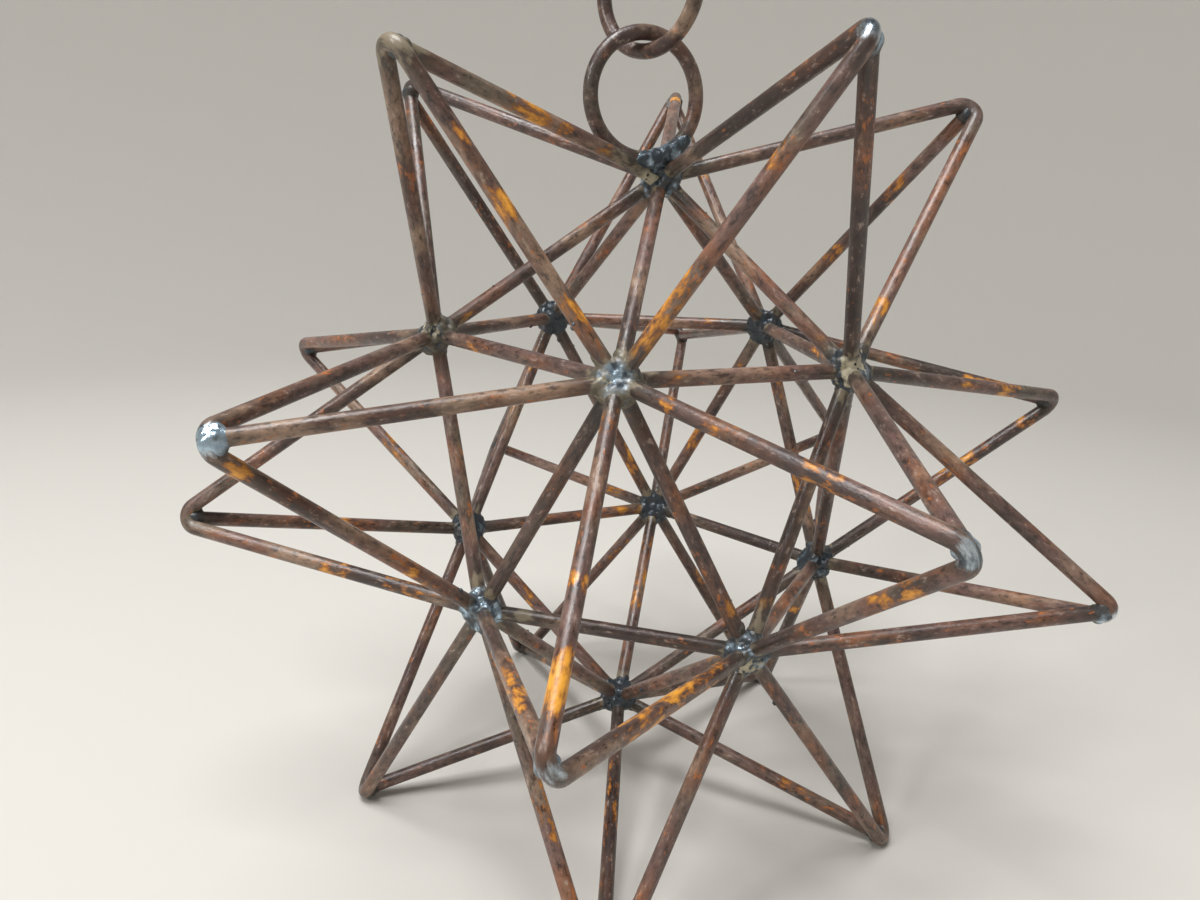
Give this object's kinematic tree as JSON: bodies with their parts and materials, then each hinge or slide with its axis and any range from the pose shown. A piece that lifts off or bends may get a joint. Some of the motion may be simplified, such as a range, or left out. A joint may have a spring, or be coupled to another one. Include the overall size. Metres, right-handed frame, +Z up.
{
  "type": "hanging iron star",
  "caption": "Open star of welded round iron bar: a hollow core of rods with a long bent-bar spike on every face, and a loose ring linked through a welded ring to hang it by.",
  "frame": {"origin": "on the surface that the star stands on, under the middle of its box", "axes": "+Z up, from the bottom hub to the top hub and the rings; -Y is the front that the picture shows"},
  "size_m": [0.3802, 0.3874, 0.3797],
  "materials": {
    "rusty_bar": "rusted and waxed round bar, mottled brown with orange blotches",
    "welded_bar": "the same rusted bar, with grey-blue weld lumps, pale slag and soot at the hubs"
  },
  "bodies": {
    "welded_star": {"upper_hoop": "welded_bar", "lower_hoop": "welded_bar", "top_spider": "welded_bar", "bottom_spoke_1": "welded_bar", "bottom_spoke_2": "rusty_bar", "bottom_spoke_3": "rusty_bar", "bottom_spoke_4": "rusty_bar", "bottom_spoke_5": "rusty_bar", "waist_strut_1": "rusty_bar", "waist_strut_2": "rusty_bar", "waist_strut_3": "rusty_bar", "waist_strut_4": "rusty_bar", "waist_strut_5": "rusty_bar", "waist_strut_6": "rusty_bar", "waist_strut_7": "rusty_bar", "waist_strut_8": "rusty_bar", "waist_strut_9": "rusty_bar", "waist_strut_10": "rusty_bar", "crown_spike_1_bow": "rusty_bar", "crown_spike_2_bow": "rusty_bar", "crown_spike_3_bow": "rusty_bar", "crown_spike_4_bow": "rusty_bar", "crown_spike_5_bow": "rusty_bar", "upper_spike_1_bow": "rusty_bar", "upper_spike_2_bow": "rusty_bar", "upper_spike_3_bow": "rusty_bar", "upper_spike_4_bow": "rusty_bar", "upper_spike_5_bow": "rusty_bar", "lower_spike_1_bow": "rusty_bar", "lower_spike_2_bow": "rusty_bar", "lower_spike_3_bow": "rusty_bar", "lower_spike_4_bow": "rusty_bar", "lower_spike_5_bow": "rusty_bar", "foot_spike_1_bow": "rusty_bar", "foot_spike_2_bow": "rusty_bar", "foot_spike_3_bow": "rusty_bar", "foot_spike_4_bow": "rusty_bar", "foot_spike_5_bow": "rusty_bar", "crown_spike_1_leg": "rusty_bar", "crown_spike_2_leg": "rusty_bar", "crown_spike_3_leg": "rusty_bar", "crown_spike_4_leg": "rusty_bar", "crown_spike_5_leg": "rusty_bar", "upper_spike_1_leg": "rusty_bar", "upper_spike_2_leg": "rusty_bar", "upper_spike_3_leg": "rusty_bar", "upper_spike_4_leg": "rusty_bar", "upper_spike_5_leg": "rusty_bar", "lower_spike_1_leg": "rusty_bar", "lower_spike_2_leg": "rusty_bar", "lower_spike_3_leg": "rusty_bar", "lower_spike_4_leg": "rusty_bar", "lower_spike_5_leg": "rusty_bar", "foot_spike_1_leg": "rusty_bar", "foot_spike_2_leg": "rusty_bar", "foot_spike_3_leg": "rusty_bar", "foot_spike_4_leg": "rusty_bar", "foot_spike_5_leg": "rusty_bar", "hanging_ring": "welded_bar"},
    "loose_link": {"loose_ring": "rusty_bar"}
  },
  "joints": [
    {"name": "loose_ring_swing", "type": "hinge", "parent": "welded_star", "child": "loose_link", "pos_m": [-0.00247, -0.0111, 0.33673], "axis": [0.8192, 0.5736, 0], "range_deg": [-160, 160]}
  ]
}
